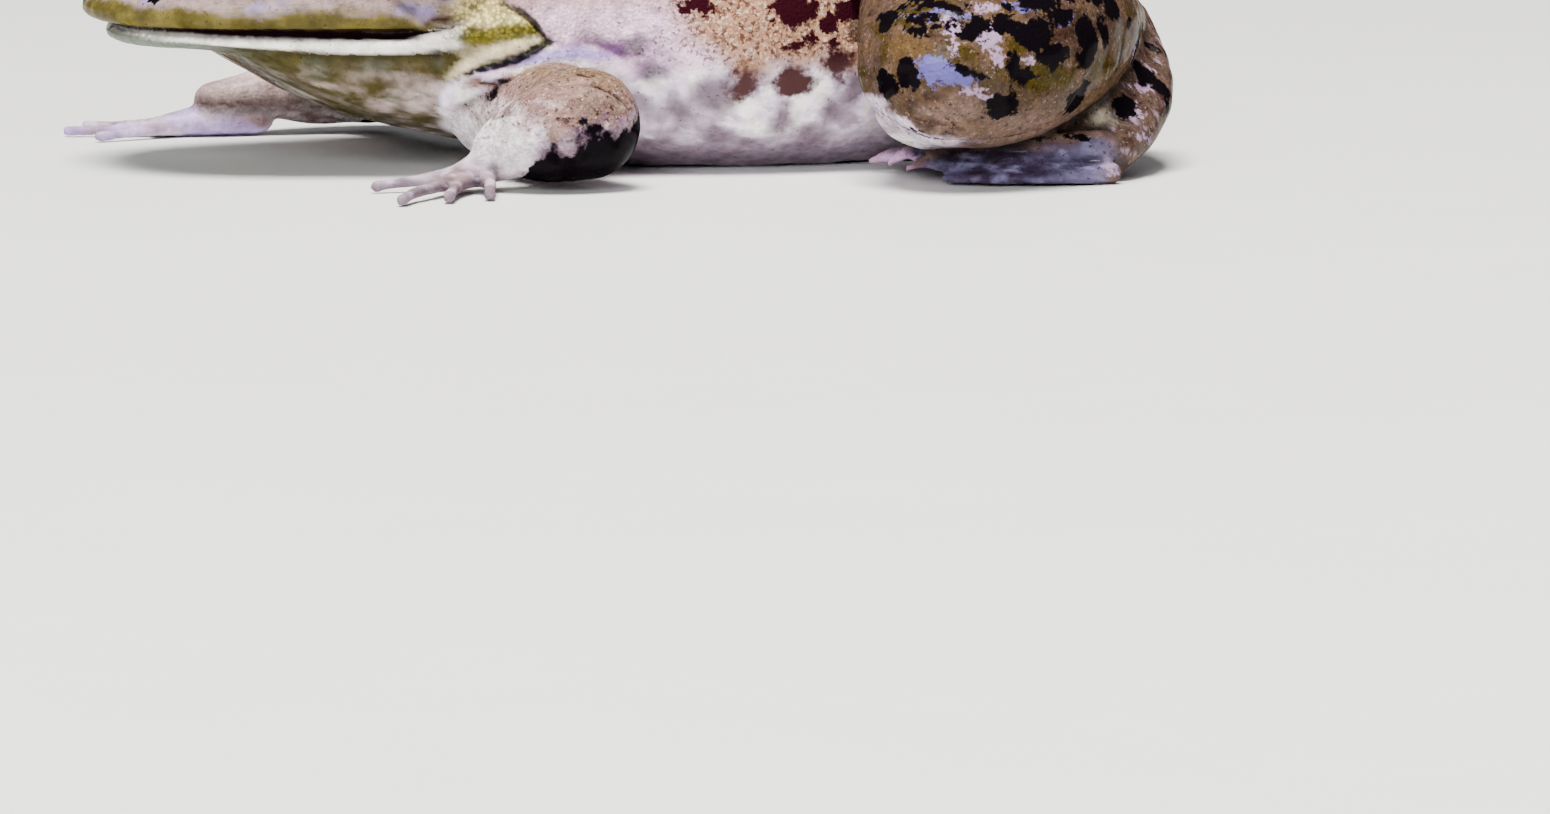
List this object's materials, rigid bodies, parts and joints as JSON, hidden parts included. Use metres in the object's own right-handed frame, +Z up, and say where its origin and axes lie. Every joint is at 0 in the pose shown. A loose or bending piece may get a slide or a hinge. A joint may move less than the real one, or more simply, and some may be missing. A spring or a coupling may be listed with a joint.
{
  "type": "bullfrog",
  "caption": "Life-size still model of an adult American bullfrog crouched low on its belly, arms spread in front and hind legs folded.",
  "frame": {"origin": "middle of the bounding box, at the floor the frog rests on", "axes": "+X from the snout to the rear, +Y to the frog's right, +Z up"},
  "size_m": [0.1534, 0.148, 0.0597],
  "materials": {
    "skin_back": "wet olive-brown skin with maroon-brown spots on the flanks and a pale belly",
    "skin_throat": "wet pale throat skin with olive mottling and a cream lip",
    "skin_ear": "smooth dark brown ear drum skin",
    "skin_limb": "wet olive-tan skin with black blotches",
    "skin_hand": "wet pinkish grey skin of the fingers, toes and webs",
    "eye": "glossy gold eye with a black level pupil"
  },
  "bodies": {
    "root": {"head": "skin_back", "lower_jaw": "skin_throat", "trunk": "skin_back", "eye_left": "eye", "tympanum_left": "skin_ear", "upper_arm_left": "skin_limb", "forearm_left": "skin_limb", "hand_left": "skin_hand", "thigh_left": "skin_limb", "shank_left": "skin_limb", "tarsus_left": "skin_limb", "foot_left": "skin_hand", "eye_right": "eye", "tympanum_right": "skin_ear", "upper_arm_right": "skin_limb", "forearm_right": "skin_limb", "hand_right": "skin_hand", "thigh_right": "skin_limb", "shank_right": "skin_limb", "tarsus_right": "skin_limb", "foot_right": "skin_hand"}
  },
  "joints": []
}
